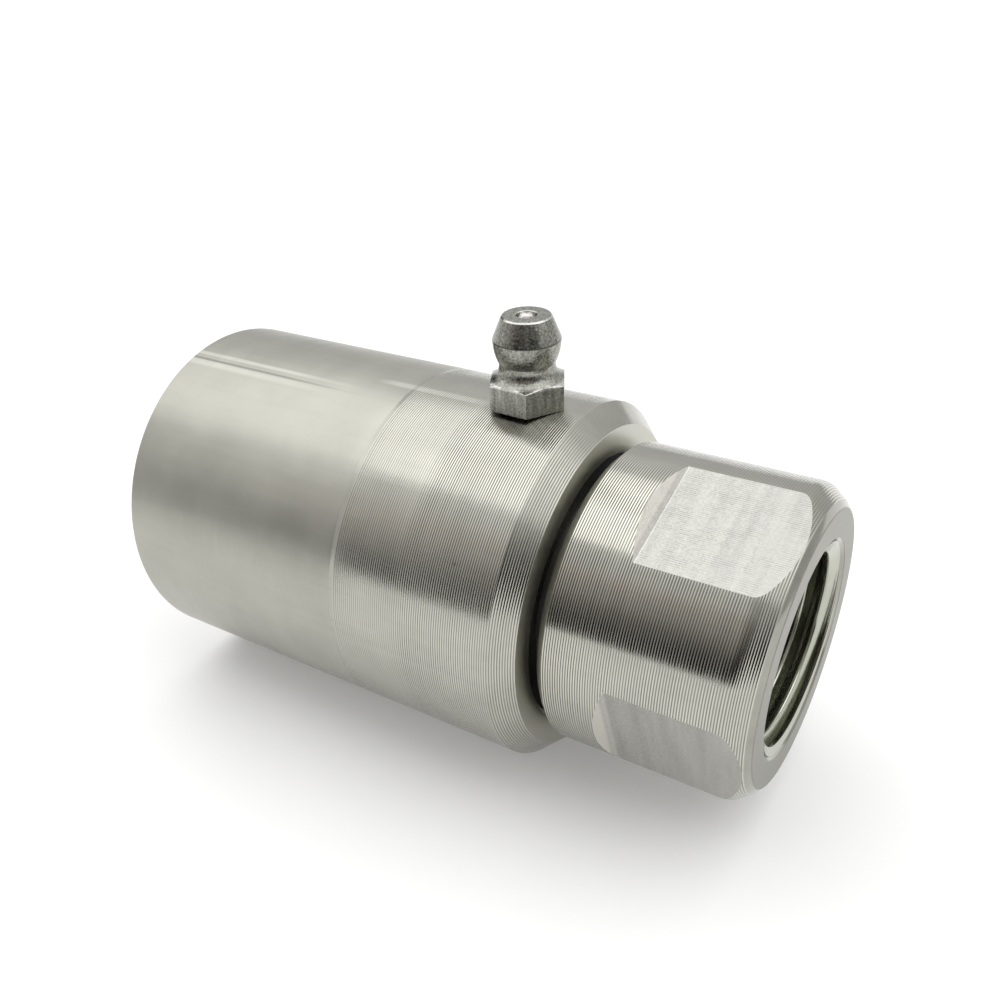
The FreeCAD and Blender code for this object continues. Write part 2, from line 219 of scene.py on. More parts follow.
class Shader:
    """The nodes of a material, or of the world, built up one by one."""

    def __init__(self, owner):
        owner.use_nodes = True
        self.owner = owner
        self.tree = owner.node_tree

    def node(self, kind, settings=(), sockets=(), output=0):
        """Adds a node: its settings first, then the values or links of its sockets."""
        made = self.tree.nodes.new("ShaderNode" + kind)
        for name, setting in dict(settings).items():
            setattr(made, name, setting)
        for key, value in dict(sockets).items():
            self.plug(made.inputs[key], value)
        return Value(self, made.outputs[output])

    def plug(self, socket, value):
        if isinstance(value, Value):
            self.tree.links.new(value.socket, socket)
        else:
            socket.default_value = value

    def blend(self, share, first, second):
        """The first colour at share 0, the second at share 1."""
        return self.node("Mix", {"data_type": "RGBA"}, {0: share, 6: first, 7: second}, output=2)

    def vector(self, operation, *others, output=0):
        return self.node("VectorMath", {"operation": operation}, dict(enumerate(others)), output)

    def scaled(self, vector, factor):
        return self.node("VectorMath", {"operation": "SCALE"}, {0: vector, "Scale": factor})

    def measure(self, operation, *others):
        """The number that a vector operation gives, such as a length."""
        return self.vector(operation, *others, output="Value")

    def parts(self, vector):
        """The X, Y and Z of a vector."""
        split = self.node("SeparateXYZ", sockets={0: vector}).socket.node
        return [Value(self, split.outputs[axis]) for axis in "XYZ"]

    def noise(self, vector, scale, detail):
        return self.node("TexNoise", sockets={"Vector": vector, "Scale": scale, "Detail": detail})


class Material(Shader):
    """A material round one Principled shader, whose plain settings are given by name."""

    def __init__(self, name, **settings):
        super().__init__(bpy.data.materials.new(name))
        self.principled = self.tree.nodes["Principled BSDF"]
        self.place = self.node("TexCoord", output="Object")
        for setting, number in settings.items():
            self.set(setting.replace("_", " ").title(), number)

    def set(self, socket, value):
        self.plug(self.principled.inputs[socket], value)

    def stretched(self, stretch, scale, detail):
        """Noise whose grain is drawn out along the axes with a small number in stretch."""
        return self.noise(self.vector("MULTIPLY", self.place, stretch), scale, detail)

    def bump(self, height, distance):
        self.set("Normal", self.node("Bump", sockets={"Distance": distance, "Height": height}))


steel_light = (0.545, 0.54, 0.48, 1)
steel_dark = (0.265, 0.262, 0.232, 1)
feed = 0.2555


def around_axis(steel):
    """Degrees round the axis, from the top towards the camera's side."""
    y, z = steel.parts(steel.place)[1:]
    return (y * -1).math("ARCTAN2", z) * (180 / math.pi)


def band(value, start, end, soft):
    """1 between start and end and 0 outside, with edges that are soft to both sides."""
    return value.step(start - soft, start + soft) * (1 - value.step(end - soft, end + soft))


def nothing(x, out, turn):
    """For steel without painted light or shade, or without a lean."""
    return 0


def turned_steel(name, slope, roughness, painted_light=nothing, lean=nothing, chamfer=(0, 0)):
    """Stainless steel with the feed marks of a turning tool.

    The functions say how steep the marks are, how rough the steel is, how much painted light and
    shade its colour gets and how far it leans, each at x along the axis, out from it and turn
    degrees round it. On a chamfer, given as its start and how much longer its slope is, the marks
    are spaced along the slope."""
    steel = Material(name, metallic=1.0)
    x = steel.parts(steel.place)[0] / mm
    out = steel.measure("LENGTH", steel.vector("MULTIPLY", steel.place, (0, 1, 1))) / mm
    turn = around_axis(steel)
    line = (x + (x - chamfer[0]).math("MAXIMUM", 0) * chamfer[1]) / feed
    uneven = steel.node(
        "TexWhiteNoise", {"noise_dimensions": "1D"}, {"W": line.math("FLOOR")}, "Value")
    steepness = slope(x, out, turn) * (uneven * 0.3 + 0.85)
    blotch = steel.noise(steel.place, 170, 4) - 0.5
    grain = steel.stretched((0.06, 1, 1), 1100, 3) - 0.5
    turning = steel.stretched((1, 0.05, 0.05), 1900, 3) - 0.5

    # every mark tilts the surface along the axis, from rising at its start to falling at its end
    tilt = (line.math("FRACT") - 0.5) * 1.7 * steepness + turning * 0.08 + lean(x, out, turn)
    normal = steel.node("NewGeometry", output="Normal")
    axis = steel.node(
        "VectorTransform",
        {"vector_type": "VECTOR", "convert_from": "OBJECT", "convert_to": "WORLD"},
        {0: (1, 0, 0)})
    facing = steel.scaled(normal, steel.measure("DOT_PRODUCT", normal, axis))
    along = steel.vector("SUBTRACT", axis, facing)
    tilted = steel.vector("ADD", normal, steel.scaled(along, tilt))
    steel.set("Normal", steel.vector("NORMALIZE", tilted))

    spot = steel.node(
        "TexVoronoi", {"feature": "F1"}, {"Vector": steel.place, "Scale": 150.0}, "Distance")
    pit = 1 - spot.step(0.02, 0.04)
    # painted shade and painted highlight that alternate across every feed mark, as bands in the
    # base colour
    painted_mark_light = (line * (2 * math.pi) - 0.6).math("COSINE") * steepness * 0.75
    # random blotches, grain and dark pits, plus the painted light and shade that the function gives
    lightness = blotch * 0.5 + grain * 0.2 + 0.5 - pit * 0.4 + painted_light(x, out, turn)
    steel.set("Base Color", steel.scaled(
        steel.blend(lightness, steel_dark, steel_light), 1 - painted_mark_light))
    steel.set("Roughness", roughness(x, out, turn) + blotch * 0.12 + grain * 0.06 + turning * 0.1)
    return steel


def rubbed_top(turn):
    """The strip along the top where handling has rubbed the feed marks smoother."""
    return band(turn, -14, 3, 5)


def off_blend_ring(x):
    """0 on the shallow ring between the front and the rear cut, 1 on both sides of it."""
    half = blend_ring_width / 2
    return (x - blend_ring_x).math("ABSOLUTE").step(half, half + 0.05)


def off_front_face(out):
    """0 on the housing's front face, 1 on its chamfer and its side."""
    return out.step(housing_radius - housing_chamfer, housing_radius - housing_chamfer + 0.1)


def housing_slope(x, out, turn):
    """Faint behind the blend ring, steep ahead of it, steepest near the front, none on the faces.

    The marks are rubbed along the top, and over a wider strip of the front chamfer."""
    rear_cut = x.step(*rear_marks_fade)
    front_cut = x.step(blend_ring_x - 0.1, blend_ring_x + 0.1)
    near_front = x.step(steep_marks_start - 1, steep_marks_start + 1)
    marks = front_cut * 0.24 + near_front * 0.25 + rear_cut * 0.075
    on_chamfer = band(x, housing_chamfer_start - 0.7, housing_length + 0.3, 0.8)
    rubbed_chamfer = band(turn, -40, 9, 6) * on_chamfer * 0.95
    rubbed = (rubbed_top(turn) * 0.75).math("MAXIMUM", rubbed_chamfer)
    return marks * off_blend_ring(x) * off_front_face(out) * (1 - rubbed)


def housing_front_face(x, out):
    """1 on the ring-shaped face that looks at the head, else 0."""
    return x.step(housing_length - 0.7, housing_length - 0.2) * (1 - off_front_face(out))


def housing_roughness(x, out, turn):
    """Satin behind the blend ring and on the front face, brighter on the ring and ahead of it."""
    ahead_of_ring = x.step(blend_ring_x - 2, blend_ring_x + 4)
    on_ring = 1 - off_blend_ring(x)
    return 0.34 - ahead_of_ring * 0.17 - on_ring * 0.05 + housing_front_face(x, out) * 0.20


def housing_lean(x, out, turn):
    """The blend ring's floor slopes a little towards the rear."""
    return (1 - off_blend_ring(x)) * -0.12


def housing_painted_light(x, out, turn):
    """Painted highlights and painted shade: a long bright streak and a dark one beside it at the
    rear, a shorter painted highlight at the blend ring, and painted light on the front face."""
    # painted highlight and painted shade streaks along the rear, fading forwards
    fading = 1 - x.step(6, 26)
    bright = band(turn, 11.3, 12.7, 0.4) * fading * 0.9
    faint = band(turn, 15.6, 18.0, 0.8) * fading * 0.35
    dark = band(turn, 14.5, 15.3, 0.3) * fading
    short = band(turn, 4.5, 6.8, 0.6) * band(x, 26, 37, 2) * 0.6
    on_side = out.step(housing_radius - 0.3, housing_radius - 0.1)
    # the front face gets painted light
    return (bright + faint - dark + short) * on_side + housing_front_face(x, out) * 0.5


housing = turned("turned_housing", edged([
    (0, port_mouth_radius, 0.08),
    (0, housing_radius - rear_edge_break, 0.1),
    (rear_edge_break, housing_radius, 0.1),
    (blend_start - 0.1, housing_radius, 0.03),
    (blend_start, blend_floor, 0.03),
    (blend_end, blend_floor, 0.03),
    (blend_end + 0.1, housing_radius, 0.03),
    (housing_chamfer_start, housing_radius, 0.15),
    (housing_length, housing_radius - housing_chamfer, 0.1),
    (housing_length, bore_radius + 0.5, 0.05),
    (housing_length - 0.5, bore_radius, 0.05),
    *round_track(1),
    (bore_end, bore_radius, 0.1),
    (bore_end, seal_pocket_radius, 0.1),
    (seal_pocket_start, seal_pocket_radius, 0.1),
    (seal_pocket_start, flow_radius, 0.1),
    (port_depth, flow_radius, 0.1),
    (port_depth, port_root_radius, 0.1),
    (port_mouth_radius - port_root_radius, port_root_radius, 0.05),
]))
housing_steel = turned_steel(
    "turned housing steel", housing_slope, housing_roughness, housing_painted_light, housing_lean,
    chamfer=(housing_chamfer_start, math.sqrt(2) - 1))
fit(housing, "housing_body", "turned_stainless", housing_steel, "housing")


# Port thread. G 1/2, cut with the same tool in both ports: a right-handed ridge with
# rounded crests that starts at the countersunk mouth and runs out before the bottom.

thread_pitch = 1.814
thread_crest_radius = 9.32
thread_crest_rounding = 0.249
thread_flank_angle = 27.5
thread_foot_radius = port_root_radius + 0.05
thread_length = 13.2
thread_mouth_slope = 0.4
thread_first_crest = -0.62
thread_start_turn = 71.0


def ridge_section():
    """(along, out) points over the ridge, from flank to flank, its foot sunk in the wall."""
    points = []
    for degrees in (-90 + thread_flank_angle, -30, 0, 30, 90 - thread_flank_angle):
        angle = math.radians(degrees)
        points.append(Vector((
            thread_crest_rounding * math.sin(angle),
            thread_crest_radius + thread_crest_rounding * (1 - math.cos(angle)))))
    run = (thread_foot_radius - points[-1].y) * math.tan(math.radians(thread_flank_angle))
    return [
        Vector((points[0].x - run, thread_foot_radius)), *points,
        Vector((points[-1].x + run, thread_foot_radius))]


def cut_at_mouth(section, crest_depth):
    """The ridge's section at a depth, without what would stand out of the countersunk mouth."""
    moved = [Vector((crest_depth + along, out)) for along, out in section]
    mouth = [(port_mouth_radius - point.y) * thread_mouth_slope for point in moved]
    inside = [point.x - depth for point, depth in zip(moved, mouth)]
    corner = Vector((mouth[-1], moved[-1].y))
    for k in range(len(moved) - 1, 0, -1):
        if inside[k - 1] < 0 <= inside[k]:
            corner = moved[k].lerp(moved[k - 1], inside[k] / (inside[k] - inside[k - 1]))
            break
    kept = [corner if space < 0 else point for point, space in zip(moved, inside)]
    kept[0] = Vector((max(moved[0].x, mouth[0]), moved[0].y))
    return kept


def port_thread(name, place):
    """The thread of a port whose mouth is at the origin of its place, running along its X axis."""
    ridge = ridge_section()
    steps_in_turn = 120
    steps_in_runout = steps_in_turn / 4
    steps = round((thread_length - thread_first_crest) / thread_pitch * steps_in_turn)
    sections = []
    for step in range(steps + 1):
        turn = step / steps_in_turn
        angle = math.radians(thread_start_turn) + 2 * math.pi * turn
        height = min(1, (steps - step) / steps_in_runout)
        section = cut_at_mouth(ridge, thread_first_crest + thread_pitch * turn)
        sections.append([
            place @ off_axis(depth, thread_foot_radius - (thread_foot_radius - out) * height, angle)
            for depth, out in reversed(section)])
    return swept(name, sections, closed=False)


tapped = Material("tapped steel", metallic=1.0)
tool_lines = tapped.stretched((1, 0.3, 0.3), 2200, 3)
tapped.set("Base Color", tapped.blend(tool_lines, (0.40, 0.41, 0.34, 1), (0.50, 0.51, 0.44, 1)))
tapped.set("Roughness", tool_lines * 0.12 + 0.16)
tapped.bump(tool_lines, 0.004 * mm)
rear_thread = port_thread("rear_port_thread", Matrix())
fit(rear_thread, "housing_body", "turned_stainless", tapped)


# Pressure seal. A polyurethane cup with two lips, opened by a rubber ring in its slot and
# backed by a hard white plastic ring, pushed into its pocket before the washer.

def dress(node, material):
    """Gives a piece that keeps its exact shape its material."""
    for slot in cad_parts[node].material_slots:
        slot.material = material.owner


cup = Material("seal polyurethane", coat_weight=0.1)
cup_cloud = cup.noise(cup.place, 500, 3)
cup.set("Base Color", cup.blend(cup_cloud, (0.07, 0.15, 0.28, 1), (0.10, 0.20, 0.36, 1)))
cup.set("Roughness", cup_cloud * 0.15 + 0.32)
cup.bump(cup.noise(cup.place, 6000, 2), 0.01 * mm)
dress("pressure_seal_cup", cup)

rubber = Material("seal rubber")
bloom = rubber.noise(rubber.place, 300, 3)
rubber.set("Base Color", rubber.blend(bloom, (0.006, 0.006, 0.007, 1), (0.014, 0.014, 0.013, 1)))
rubber.set("Roughness", bloom * 0.2 + 0.50)
rubber.bump(rubber.noise(rubber.place, 9000, 3), 0.01 * mm)
dress("pressure_seal_energiser", rubber)

plastic = Material("backup plastic")
lathe_lines = plastic.stretched((1, 0.02, 0.02), 9000, 2)
plastic.set("Base Color", plastic.blend(lathe_lines, (0.80, 0.79, 0.74, 1), (0.88, 0.87, 0.82, 1)))
plastic.set("Roughness", lathe_lines * 0.1 + 0.45)
plastic.bump(lathe_lines, 0.008 * mm)
dress("seal_backup_ring", plastic)


# Retainer washer and its O-ring. A bronze washer that holds the seal in its pocket, with a
# rubber ring in its inner groove, and a plain steel spacer ring between it and the bearing.

bronze = Material("bronze", metallic=1.0)
bronze_lines = bronze.stretched((1, 0.05, 0.05), 7000, 2)
tarnish = bronze.noise(bronze.place, 350, 4)
bronze.set("Base Color", bronze.blend(tarnish, (0.46, 0.30, 0.15, 1), (0.72, 0.52, 0.28, 1)))
bronze.set("Roughness", tarnish * 0.15 + bronze_lines * 0.1 + 0.2)
bronze.bump(bronze_lines, 0.006 * mm)
dress("seal_retainer_washer", bronze)
dress("retainer_o_ring", rubber)


def ring_slope(x, out, turn):
    return 0.06 * (1 - rubbed_top(turn) * 0.75)


def ring_roughness(x, out, turn):
    return 0.28


dress("bearing_spacer_ring", turned_steel("turned ring steel", ring_slope, ring_roughness))


# Rear bearing and lock balls. A deep groove ball bearing of ground and polished steel with a
# nylon crown cage, and a full row of the same polished balls, fed in under the grease nipple.

polished = Material("polished bearing steel", metallic=1.0)
polish = polished.noise(polished.place, 700, 3)
polished.set("Base Color", polished.blend(polish, (0.66, 0.66, 0.66, 1), (0.74, 0.74, 0.74, 1)))
polished.set("Roughness", polish * 0.06 + 0.06)
for node in ("rear_bearing_balls", "lock_balls", "nipple_check_ball"):
    dress(node, polished)

ground = Material("ground bearing steel", metallic=1.0)
grinding = ground.stretched((1, 0.04, 0.04), 14000, 2)
ground.set("Base Color", ground.blend(grinding, (0.58, 0.58, 0.58, 1), (0.70, 0.70, 0.70, 1)))
ground.set("Roughness", grinding * 0.1 + 0.14)
ground.bump(grinding, 0.003 * mm)
for node in ("rear_bearing_outer_ring", "rear_bearing_inner_ring"):
    dress(node, ground)

nylon = Material("cage nylon", subsurface_weight=0.1)
nylon_cloud = nylon.noise(nylon.place, 600, 3)
nylon.set("Base Color", nylon.blend(nylon_cloud, (0.66, 0.60, 0.44, 1), (0.78, 0.72, 0.56, 1)))
nylon.set("Roughness", nylon_cloud * 0.15 + 0.4)
nylon.bump(nylon.noise(nylon.place, 8000, 2), 0.006 * mm)
dress("rear_bearing_cage", nylon)


# Circlip, seal case and garter spring. Blued spring strip and drawn wire, and thin pressed
# steel sheet. The circlip snaps into the spindle's groove behind the bearing.

blued = Material("blued spring steel", metallic=1.0)
blueing = blued.noise(blued.place, 450, 4)
blued.set("Base Color", blued.blend(blueing, (0.20, 0.20, 0.23, 1), (0.36, 0.36, 0.37, 1)))
blued.set("Roughness", blueing * 0.2 + 0.28)
blued.bump(blued.noise(blued.place, 7000, 2), 0.004 * mm)
for node in ("spindle_circlip", "dust_seal_case", "dust_seal_garter_spring"):
    dress(node, blued)


# Dust seal lip. Black rubber bonded into the pressed case, which shows in the gap between
# the housing and the head, with its dust lip lying round the spindle's neck.

dress("dust_seal_lip", rubber)


# Spindle. Turned from the same bar, with a nose for the seal and the bearing, a neck with
# the lock balls' track and a round head with the hose port and four milled wrench flats.

spindle_low, spindle_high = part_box("spindle")
nose_start = spindle_low.x / mm
head_end = spindle_high.x / mm
head_length = 20.6
head_start = head_end - head_length
head_radius = spindle_high.z / mm
head_back_chamfer = 1.0
head_front_chamfer = (1.65, 1.3)
head_face_break = (0.5, 0.75)
nose_radius = 7.5
neck_radius = 11.0
bearing_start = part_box("rear_bearing_inner_ring")[0].x / mm
bearing_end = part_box("rear_bearing_inner_ring")[1].x / mm
abutment_end = bearing_end + 0.4
abutment_radius = 9.4
circlip_groove_start = bearing_start - 1.1
circlip_groove_radius = nose_radius - 0.35
port_floor_radius = 9.2
port_point_length = 2.524
flat_distance = 14.5
flat_length = 13.3
flat_start = head_end - flat_length
flat_ramp_angle = 45.0
flat_angle = 19.5
head_chamfer_end = head_end - head_face_break[0]
head_chamfer_end_radius = head_radius - head_front_chamfer[1]
head_chamfer_start = head_chamfer_end - head_front_chamfer[0]


def ahead_of_back_chamfer(x):
    chamfer_edge = head_start + head_back_chamfer
    return x.step(chamfer_edge - 0.1, chamfer_edge + 0.1)


def head_slope(x, out, turn):
    """Deep from the head's back chamfer forward, and none on its faces, the neck and the nose.

    The marks are rubbed along the top, most behind the flats."""
    on_side = out.step(head_chamfer_end_radius - 0.05, head_chamfer_end_radius + 0.05)
    behind_flats = band(x, head_start + 1.3, flat_start + 3, 2)
    rubbed = rubbed_top(turn) * (behind_flats * 0.2 + 0.75)
    return ahead_of_back_chamfer(x) * on_side * 0.62 * (1 - rubbed)


def head_end_face(x):
    return x.step(head_end - 0.1, head_end - 0.05)


def head_roughness(x, out, turn):
    """Bright where the marks are, satin on the faces."""
    return 0.13 + (1 - ahead_of_back_chamfer(x)) * 0.30 + head_end_face(x) * 0.26


def head_painted_light(x, out, turn):
    """Painted light behind the marks, and painted shade on the port's face and the edge round it.
    """
    face_edge = x.step(head_chamfer_end, head_chamfer_end + 0.05)
    # painted light behind the marks, painted shade on the port's face and its edge
    return (1 - ahead_of_back_chamfer(x)) * 0.5 - face_edge * 0.2 - head_end_face(x) * 0.25


spindle = turned("turned_spindle", edged([
    (nose_start, flow_radius, 0.1),
    (nose_start, nose_radius - 0.5, 0.1),
    (nose_start + 0.5, nose_radius, 0.1),
    (circlip_groove_start, nose_radius, 0.03),
    (circlip_groove_start, circlip_groove_radius, 0.03),
    (bearing_start, circlip_groove_radius, 0.03),
    (bearing_start, nose_radius, 0.03),
    (bearing_end, nose_radius, 0.03),
    (bearing_end, abutment_radius, 0.03),
    (abutment_end, abutment_radius, 0.03),
    (abutment_end, neck_radius, 0.03),
    *round_track(-1)[::-1],
    (head_start, neck_radius, 0.3),
    (head_start, head_radius - head_back_chamfer, 0.12),
    (head_start + head_back_chamfer, head_radius, 0.12),
    (head_chamfer_start, head_radius, 2.0),
    (head_chamfer_end, head_chamfer_end_radius, 0.1),
    (head_end, head_chamfer_end_radius - head_face_break[1], 0.12),
    (head_end, port_mouth_radius, 0.05),
    (head_end - port_mouth_radius + port_root_radius, port_root_radius, 0.05),
    (head_end - port_depth, port_root_radius, 0.1),
    (head_end - port_depth, port_floor_radius, 0.1),
    (head_end - port_depth - port_point_length, flow_radius, 0.1),
]))
spindle_steel = turned_steel(
    "turned spindle steel", head_slope, head_roughness, head_painted_light,
    chamfer=(head_chamfer_start, math.hypot(*head_front_chamfer) / head_front_chamfer[0] - 1))
spindle.data.materials.append(spindle_steel.owner)

milled = Material("milled flat steel", metallic=1.0)
milled_x = milled.parts(milled.place)[0] / mm
cutter_bands = milled.stretched((1, 0.08, 0.08), 1100, 3)
dash_strength = milled.stretched((0.5, 1, 1), 900, 3).step(0.3, 0.7)
cutter_dashes = (around_axis(milled) * 7.48).math("SINE") * dash_strength
milled_grain = milled.noise(milled.place, 4200, 2)
sparkle = (milled_grain - 0.5) * (1.5 - milled_x.step(head_end - 11, head_end - 3) * 0.7)
milled_shade = (cutter_bands - 0.5) * 1.3 + 0.5 + cutter_dashes * 0.35 + sparkle
# painted light on the ramp, a strip of painted shade beside the fold and a painted highlight along
# the fold
on_ramp = 1 - milled_x.step(flat_start - 0.15, flat_start - 0.05)
beside_fold = band(milled_x, flat_start - 0.4, flat_start - 0.1, 0.1)
on_fold = band(milled_x, flat_start - 0.08, flat_start + 0.12, 0.08)
flat_colour = milled.blend(milled_shade, (0.34, 0.335, 0.315, 1), (0.50, 0.495, 0.46, 1))
painted_ramp_light = on_ramp * (0.75 - beside_fold * 0.45)
painted_ramp_colour = milled.blend(painted_ramp_light, flat_colour, (0.68, 0.655, 0.60, 1))
milled.set("Base Color", milled.blend(on_fold * 0.3, painted_ramp_colour, (0.74, 0.73, 0.68, 1)))
milled.set("Roughness", cutter_bands * 0.16 + 0.30)
milled.bump(cutter_dashes * 0.4 + cutter_bands + milled_grain * 0.9, 0.02 * mm)


def flat_cutter(angle):
    """The block that mills one flat: a level floor that ends in a sloping ramp."""
    reach = 2 * head_radius
    ramp_run = (reach - flat_distance) / math.tan(math.radians(flat_ramp_angle))
    side = [
        (flat_start, flat_distance), (head_end + reach, flat_distance),
        (head_end + reach, reach), (flat_start - ramp_run, reach)]
    turn = Matrix.Rotation(math.radians(angle), 4, "X")
    points = [turn @ (Vector((x, y, z)) * mm) for y in (-reach, reach) for x, z in side]
    faces = [(0, 1, 2, 3), (7, 6, 5, 4), (0, 4, 5, 1), (1, 5, 6, 2), (2, 6, 7, 3), (3, 7, 4, 0)]
    cutter = solid("flat cutter", points, faces)
    cutter.data.materials.append(milled.owner)
    return cutter


for quarter in range(4):
    cut(spindle, flat_cutter(flat_angle + 90 * quarter))
fit(spindle, "spindle_body", "turned_stainless", spindle_steel, "spindle")
head_mouth = Matrix.Translation((head_end * mm, 0, 0)) @ Matrix.Rotation(math.pi, 4, "Z")
head_thread = port_thread("head_port_thread", head_mouth)
fit(head_thread, "spindle_body", "turned_stainless", tapped)


# Grease nipple. Turned from bright hexagon bar, with a cone head for the grease gun over a
# round neck, and screwed down on the housing over the lock balls.

nipple_seat = housing_radius
nipple_low, nipple_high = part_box("grease_nipple_body")
shank_end = nipple_low.z / mm - nipple_seat
shank_radius = 2.5
nipple_height = nipple_high.z / mm - nipple_seat
hexagon_width = 7.0
hexagon_middle = 1.4
hexagon_turn = 28.0
hollow_start = 3.0
hollow_radius = 1.79
hollow_middle = (4.222, 4.41)
foot_radius = 3.1
foot_top = 2.98
neck_waist = (4.2, 2.7)
head_widest = 3.25
rim_radius = 2.25
mouth_radius = 1.0
passage_radius = 1.35
inlet_radius = 0.7

bright = Material("bright nipple steel", metallic=1.0)
nipple_x, nipple_y, nipple_z = bright.parts(bright.place)
from_axis = bright.measure("LENGTH", bright.node(
    "CombineXYZ", sockets={"X": nipple_x / mm - lock_row_x, "Y": nipple_y / mm}))
above_seat = nipple_z / mm - nipple_seat
upright_streaks = bright.stretched((1, 1, 0.12), 2600, 3)
bright_spots = bright.noise(bright.place, 4600, 4)
streak_share = 0.55 - above_seat.step(2.7, 3.2) * 0.4
streaky = bright_spots + (upright_streaks - bright_spots) * streak_share
# painted highlights on the rim and in a line round the foot
at_rim = band(above_seat, nipple_height - 0.16, nipple_height - 0.04, 0.03)
rim_highlight = at_rim * from_axis.step(2.1, 2.2) * 0.65
at_foot = band(above_seat, 2.44, 2.66, 0.05) * from_axis.step(3.05, 3.2)
foot_highlight = at_foot * (0.35 + streaky.step(0.4, 0.7) * 0.4)
# the mouth's wall, lightened as a painted reflection
mouth = 1 - from_axis.step(mouth_radius - 0.02, mouth_radius + 0.1)
painted_highlights = rim_highlight.math("MAXIMUM", foot_highlight).math("MAXIMUM", mouth)
shoulder = band(above_seat, 6.42, 6.55, 0.03) * from_axis.step(3.1, 3.2)
plain_colour = bright.blend(streaky.step(0.3, 0.7), (0.16, 0.16, 0.14, 1), (0.40, 0.40, 0.36, 1))
highlighted_colour = bright.blend(painted_highlights * 0.85, plain_colour, (0.9, 0.89, 0.86, 1))
bright.set("Base Color", bright.blend(shoulder * 0.8, highlighted_colour, (0.03, 0.03, 0.027, 1)))
bright.set("Roughness", bright_spots * 0.2 + streaky * 0.1 + 0.13 - painted_highlights * 0.05)
bright.bump(streaky, 0.02 * mm)


def arc(first, middle, last):
    """The corners along an arc through three (along, out) points."""
    start, way, end = (Vector(point) for point in (first, middle, last))
    across = end - start
    sideways = Vector((-across.y, across.x)).normalized()
    sagitta = (way - start).dot(sideways)
    along = (way - start).dot(across.normalized())
    half = across.length / 2
    # the circle's middle lies on the chord's bisector at this distance
    reach = (along ** 2 - 2 * half * along + sagitta ** 2) / (2 * sagitta)
    centre = start + across / 2 + sideways * reach
    radius = (start - centre).length
    turn_start = math.atan2(*(start - centre).yx)
    turn = (math.atan2(*(end - centre).yx) - turn_start + math.pi) % (2 * math.pi) - math.pi
    steps = 14
    return [(
        centre.x + radius * math.cos(turn_start + turn * k / steps),
        centre.y + radius * math.sin(turn_start + turn * k / steps), 0) for k in range(steps + 1)]


upright = Matrix.Rotation(-math.pi / 2, 4, "Y")
nipple_place = Matrix.Translation((lock_row_x * mm, 0, nipple_seat * mm)) @ upright
nipple = turned("turned_nipple", edged([
    (shank_end, inlet_radius, 0.05),
    (shank_end, shank_radius, 0.2),
    (hexagon_middle, shank_radius, 0),
    (hexagon_middle, foot_radius, 0),
    (foot_top, foot_radius, 0),
    *arc((3.04, 3.05), (3.4, 2.83), neck_waist),
    *arc(neck_waist, (5.1, 3.05), (6.45, head_widest)),
    (6.52, head_widest, 0.05),
    (nipple_height - 0.15, rim_radius + 0.15, 0.1),
    (nipple_height, rim_radius, 0.1),
    (nipple_height, mouth_radius, 0.08),
    (nipple_height - 0.8, mouth_radius, 0.05),
    (nipple_height - 1.15, passage_radius, 0.05),
    (shank_end + 0.6, passage_radius, 0.05),
    (shank_end + 0.6, inlet_radius, 0.05),
]), 144, nipple_place)
fit(nipple, "housing_body", "nipple_steel", bright, "grease_nipple_body")


def nipple_hexagon():
    """The hexagon, its top turned to a hollow curve that runs up into the neck."""
    around = 240
    inside = 1.5
    edge_break = 0.05
    sections = []
    for step in range(around):
        turn = 2 * math.pi * step / around
        side = (turn + math.pi / 6) % (math.pi / 3) - math.pi / 6
        edge = hexagon_width / 2 / math.cos(side)
        hollow = []
        for k in range(7):
            out = hollow_start + (edge - edge_break - hollow_start) * k / 6
            drop = math.sqrt(hollow_radius ** 2 - (out - hollow_middle[1]) ** 2)
            hollow.append((out, hollow_middle[0] - drop))
        outline = [
            (inside, 0.0), (inside, hollow[0][1]), *hollow,
            (edge, hollow[-1][1] - edge_break), (edge, edge_break), (edge - edge_break, 0.0)]
        angle = turn + math.radians(hexagon_turn)
        sections.append([Vector((
            lock_row_x + out * math.cos(angle), out * math.sin(angle),
            nipple_seat + height)) * mm for out, height in reversed(outline)])
    return swept("nipple_hexagon", sections, closed=True)


fit(nipple_hexagon(), "housing_body", "nipple_steel", bright)


# Check valve. A polished ball that a small coil spring presses up against the mouth of the
# nipple. The spring is drawn wire, and gives way as the ball is pushed down.

spring_low, spring_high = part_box("nipple_spring")
spring_wire_radius = 0.14
spring_radius = 0.95
spring_turns = 8
spring_bottom = spring_low.z / mm + spring_wire_radius
spring_top = spring_high.z / mm - spring_wire_radius


def valve_spring():
    """A round wire swept along a helix."""
    steps = spring_turns * 24
    sides = 10
    lead = (spring_top - spring_bottom) / (2 * math.pi * spring_turns)
    sections = []
    for step in range(steps + 1):
        turn = 2 * math.pi * spring_turns * step / steps
        outward = Vector((math.cos(turn), math.sin(turn), 0))
        ahead = Vector((
            -math.sin(turn) * spring_radius, math.cos(turn) * spring_radius, lead)).normalized()
        middle = outward * spring_radius + Vector((lock_row_x, 0, spring_bottom + lead * turn))
        section = []
        for side in range(sides):
            angle = 2 * math.pi * side / sides
            spoke = outward * math.cos(angle) + outward.cross(ahead) * math.sin(angle)
            section.append((middle + spoke * spring_wire_radius) * mm)
        sections.append(section)
    return swept("valve_spring", sections, closed=False)


spring = valve_spring()
fit(spring, "housing_body", "spring_steel", blued, "nipple_spring")
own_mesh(spring)


# Studio. A white floor under the swivel, which lies on its housing, and a long soft lamp over
# it. The grey surroundings are dark and warm on the camera's side, darkest behind the camera,
# and beyond the rear port are a dark wall and a bright doorway.

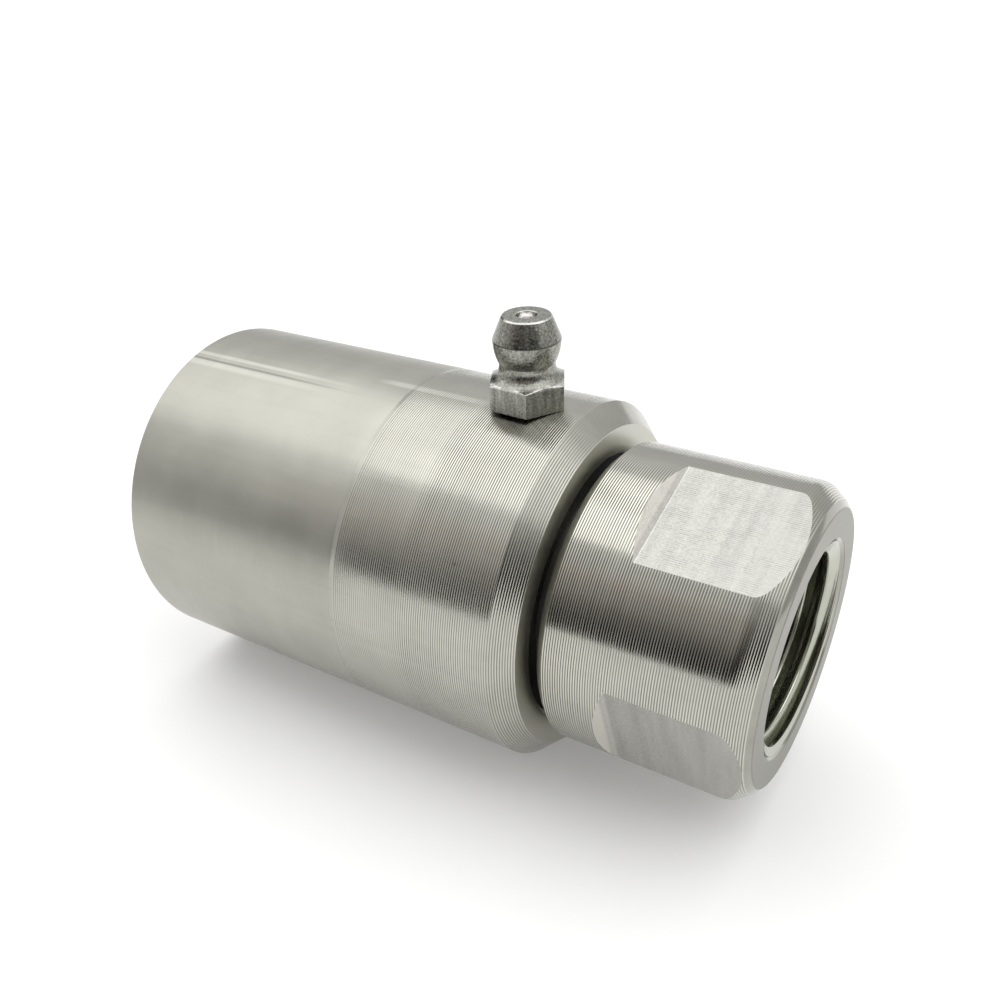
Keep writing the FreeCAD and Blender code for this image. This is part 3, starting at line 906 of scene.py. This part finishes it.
floor_reach = 3.0
floor_height = -housing_radius * mm
floor = solid("floor", [
    (-floor_reach, -floor_reach, floor_height), (floor_reach, -floor_reach, floor_height),
    (floor_reach, floor_reach, floor_height), (-floor_reach, floor_reach, floor_height),
], [(0, 1, 2, 3)])
paper = Material("white paper floor", roughness=0.9)
fibres = paper.noise(paper.place, 12, 2)
paper.set("Base Color", paper.blend(fibres, (0.80, 0.80, 0.80, 1), (0.82, 0.82, 0.82, 1)))
# the paper's glow is seen directly and in the metal, and lights nothing
seen = paper.node("LightPath", output="Is Camera Ray")
for ray in ("Is Glossy Ray", "Is Transmission Ray"):
    seen = seen.math("MAXIMUM", paper.node("LightPath", output=ray))
away = paper.measure("LENGTH", paper.place).step(0.25, 1.2)
glow = paper.blend(away, (0.19, 0.19, 0.19, 1), (0.5, 0.5, 0.5, 1))
paper.set("Emission Color", paper.blend(seen, (0, 0, 0, 1), glow))
paper.set("Emission Strength", 1.0)
floor.data.materials.append(paper.owner)

lamp_data = bpy.data.lights.new("overhead lamp", "AREA")
lamp_data.shape = "RECTANGLE"
lamp_data.size = 2.04
lamp_data.size_y = 0.7
lamp_data.energy = 3.72
lamp = bpy.data.objects.new("overhead lamp", lamp_data)
lamp.location = (-0.02, 0.077, 0.6)
bpy.context.scene.collection.objects.link(lamp)

world = bpy.data.worlds.new("studio")
bpy.context.scene.world = world
studio = Shader(world)
direction = studio.node("TexCoord", output="Generated")
x, y, z = studio.parts(direction)
camera_side = (x.step(0.45, 0.9) * 0.6 - y).step(0.57, 1.04)
overhead = z.step(0.017, 1.0)
dark_wall = (x * -1).step(0.716, 0.803) * y.step(-0.05, 0.25)
doorway = (x * -1).step(0.90, 0.98)
wall = (1 - dark_wall * 0.985) * (1 - doorway) + doorway * 1.3
photographer = (x * 0.42 - y * 0.75 + z * 0.5).step(0.68, 0.9)
room = (0.634 - camera_side * 0.726 + overhead * 0.555).math("MAXIMUM", 0.02)
patches = studio.noise(direction, 5, 2).step(0.42, 0.62)
warmth = (y * -1).step(0.5, 0.85) * x.step(-0.6, -0.35) * patches
background = studio.tree.nodes["Background"]
studio.plug(background.inputs["Strength"], room * wall * (1 - photographer * 0.55))
studio.plug(background.inputs["Color"], studio.blend(warmth, (1, 1, 1, 1), (1, 0.74, 0.60, 1)))

camera_place = Vector((86.63, -75.41, 58.11)) * mm
camera_aim = Vector((33.92, 0.13, -5.60)) * mm
camera_roll = -3.362
camera_data = bpy.data.cameras.new("camera")
camera_data.sensor_width = 36
camera_data.lens = 35.03
camera_data.shift_x = 0.0245
camera_data.shift_y = 0.0883
camera_data.clip_start = 0.005
camera = bpy.data.objects.new("camera", camera_data)
camera.location = camera_place
camera.rotation_mode = "QUATERNION"
level_view = (camera_aim - camera_place).to_track_quat("-Z", "Y")
camera.rotation_quaternion = level_view @ Quaternion((0, 0, 1), math.radians(camera_roll))
bpy.context.scene.collection.objects.link(camera)
bpy.context.scene.camera = camera
bpy.context.scene.view_settings.view_transform = "Standard"
